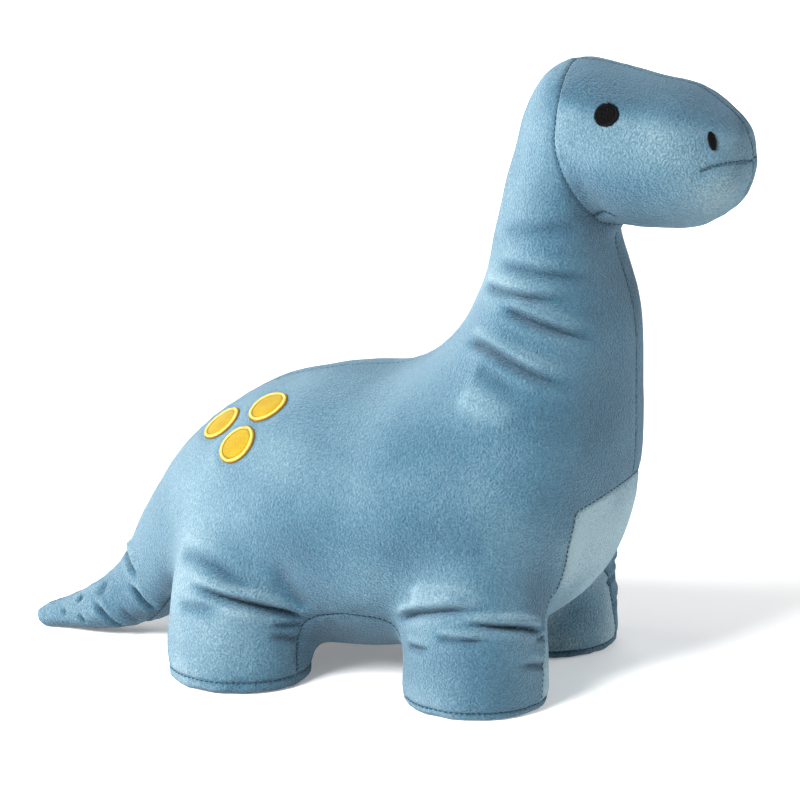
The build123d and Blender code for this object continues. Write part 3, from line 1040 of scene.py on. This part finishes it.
for side, sign in SIDES.items():
    patch = Patch(*EYE, sign)
    fill = dome(patch, EYE_RADIUS - 0.8, 0.45, 0.3, 6, 40)
    rows = filled_rows(patch, 4.9, 4.9, 0.42, 0.24, 0.62, 0.9, 2.6)
    eye = new_piece(f"eye_fill_{side}", *joined([fill] + rows), BLACK_THREAD)
    finish_piece(eye, "head", f"eye_{side}")
    border = satin_ring(patch, 4.7, EYE_RADIUS, 0.40, 0.24, 0.9, 0.42)
    border_piece = new_piece(f"eye_satin_{side}", *joined(border), BLACK_THREAD)
    finish_piece(border_piece, "head", f"eye_border_{side}")
    patch = Patch(*NOSTRIL, sign)
    rows = filled_rows(patch, 2.5, 5.0, 0.40, 0.25, 0.85, 0.0, 9)
    rows += filled_rows(patch, 2.0, 4.4, 0.40, 0.25, 0.45, 0.0, 9)
    nostril = new_piece(f"nostril_satin_{side}", *joined(rows), BLACK_THREAD)
    finish_piece(nostril, "head", f"nostril_{side}")
    for name, spot in SPOTS.items():
        patch = Patch(*spot, sign)
        disc = dome(patch, SPOT_RADIUS - SPOT_CLOTH_INSET, 0.85, 0.4)
        disc_piece = new_piece(f"spot_{name}_{side}_cloth", *disc, SPOT_CLOTH)
        finish_piece(disc_piece, "torso", f"spot_{name}_{side}")
        # The dark edging ring under the satin: partly thread ends, partly painted shadow.
        edging = satin_ring(patch, SPOT_RADIUS - SPOT_EDGE_WIDTH, SPOT_RADIUS, 0.45, 0.26, 0.7, 0.25)
        edge_piece = new_piece(f"spot_edge_{name}_{side}", *joined(edging), SPOT_EDGE_AND_PAINTED_SHADOW)
        finish_piece(edge_piece, "torso", f"spot_border_{name}_{side}")
        inner, outer = (SPOT_RADIUS - reach for reach in SATIN_REACH)
        border = satin_ring(patch, inner, outer, 0.42, 0.26, 1.3, 0.12)
        ring_piece = new_piece(f"spot_satin_{name}_{side}", *joined(border), SPOT_THREAD)
        finish_piece(ring_piece, "torso", f"spot_border_{name}_{side}")


# ---- Fibre filling: lumpy, a little smaller than the space inside the cloth
DRAWN_BACK = 0.85           # the share of a filling's reach into a bend that is taken away
NECK_SPAN = (60, 140)       # only the filling between these x is drawn back


def clear_of_bend(points, bend, side):
    """Points drawn back from the cloth that folds at a bend: side 1 is before it, -1 is after it."""
    start = np.array(bend["start"]) / MM
    end = np.array(bend["end"]) / MM
    along = (end - start) / np.linalg.norm(end - start) * side
    edge = start if side == 1 else end
    near = (points[:, 0] > NECK_SPAN[0]) * (points[:, 0] < NECK_SPAN[1])
    past = np.maximum((points - edge) @ along, 0) * near
    return points - DRAWN_BACK * past[:, None] * along


FILLING_DEPTH = {"neck": 7.5}    # how far a filling shrinks; the others shrink by OTHER_DEPTH
OTHER_DEPTH = 4.5
BODIES_WITH_FOLDS = ("torso", "neck")
CLEAR_OF_FOLDS = 9.0        # least distance below the unfolded skin
CLEAR_OF_CLOTH = 5.5        # least distance below the folded skin, for the slimmer head and tail


def filling_piece(node, body):
    """A lumpy mass of fibre in the place of a CAD filling."""
    rough = frame["nodes"][node].copy()
    rough.data = frame["nodes"][node].data.copy()
    rough.parent = None
    bpy.context.scene.collection.objects.link(rough)
    points, _, fill_faces = mesh_arrays(remesh_evenly(rough, FILLING_CELL))
    out = vertex_normals(points, fill_faces)
    depth = FILLING_DEPTH.get(body, OTHER_DEPTH) + 2.0 * fractal(points, 14, 5)
    points = points - out * depth[:, None]
    if body in ("neck", "head"):
        points = clear_of_bend(points, HEAD_BEND, 1 if body == "neck" else -1)
    if body in ("torso", "neck"):
        points = clear_of_bend(points, NECK_BEND, 1 if body == "torso" else -1)
    cover, clearance = (surface, CLEAR_OF_CLOTH)
    if body in BODIES_WITH_FOLDS:
        cover, clearance = (under, CLEAR_OF_FOLDS)
    for i, point in enumerate(points):
        hit, normal = cover.find_nearest(Vector(point))[:2]
        inward = (hit - Vector(point)).dot(normal)
        if inward < clearance:
            points[i] = hit - normal * clearance
    piece = new_piece(f"{node}_fibre", points, fill_faces, FIBRE)
    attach(piece, body)
    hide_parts(node)


for body, nodes in frame["record"]["behaviour"]["bodies"].items():
    for node in nodes:
        if "filling" in node:
            filling_piece(node, body)

# ---- Floor, lights and world
FLOOR_HALF = 5.0
FLOOR_BREAK = 1.1           # the floor glows more beyond this, so that the background stays white


def floor_part(name, near, far, glow):
    """A pale plain sheet of floor between two distances along y, with a little light of its own."""
    floor_mesh = bpy.data.meshes.new(name)
    corners = [(-FLOOR_HALF, near, 0), (FLOOR_HALF, near, 0), (FLOOR_HALF, far, 0), (-FLOOR_HALF, far, 0)]
    floor_mesh.from_pydata(corners, [], [(0, 1, 2, 3)])
    floor = linked(name, floor_mesh)
    _, shader, material = new_material(name, 0.9)
    shader.inputs["Base Color"].default_value = (0.93, 0.93, 0.93, 1)
    shader.inputs["Emission Color"].default_value = (1, 1, 1, 1)
    shader.inputs["Emission Strength"].default_value = glow
    floor_mesh.materials.append(material)


floor_part("floor", -3.0, FLOOR_BREAK, 0.22)
floor_part("far_floor", FLOOR_BREAK, 6.0, 0.9)


def area_light(name, place, size, power, target=(0, 0, 0.15)):
    """A square soft light that faces a point."""
    light = bpy.data.lights.new(name, "AREA")
    light.size = size
    light.energy = power
    lamp = linked(name, light)
    lamp.location = place
    lamp.rotation_euler = (Vector(place) - Vector(target)).to_track_quat("Z", "Y").to_euler()


def beside_camera(across, above, towards):
    """A place given across, above and towards the camera from the middle of the animal."""
    return Vector((0, 0, 0.15)) + right * across + up * above + back * towards


area_light("key_softbox", beside_camera(-1.05, 0.85, 1.3), 0.9, 98)
area_light("left_softbox", beside_camera(-1.7, 0.5, -0.5), 1.0, 16)
area_light("right_softbox", beside_camera(1.7, 0.3, -0.3), 1.0, 30)
area_light("top_softbox", beside_camera(0.0, 1.7, -1.3), 1.4, 14)
world = bpy.data.worlds.new("world")
world.use_nodes = True
world.node_tree.nodes["Background"].inputs["Color"].default_value = (1, 1, 1, 1)
world.node_tree.nodes["Background"].inputs["Strength"].default_value = 0.12
bpy.context.scene.world = world
bpy.context.scene.view_settings.view_transform = "Standard"
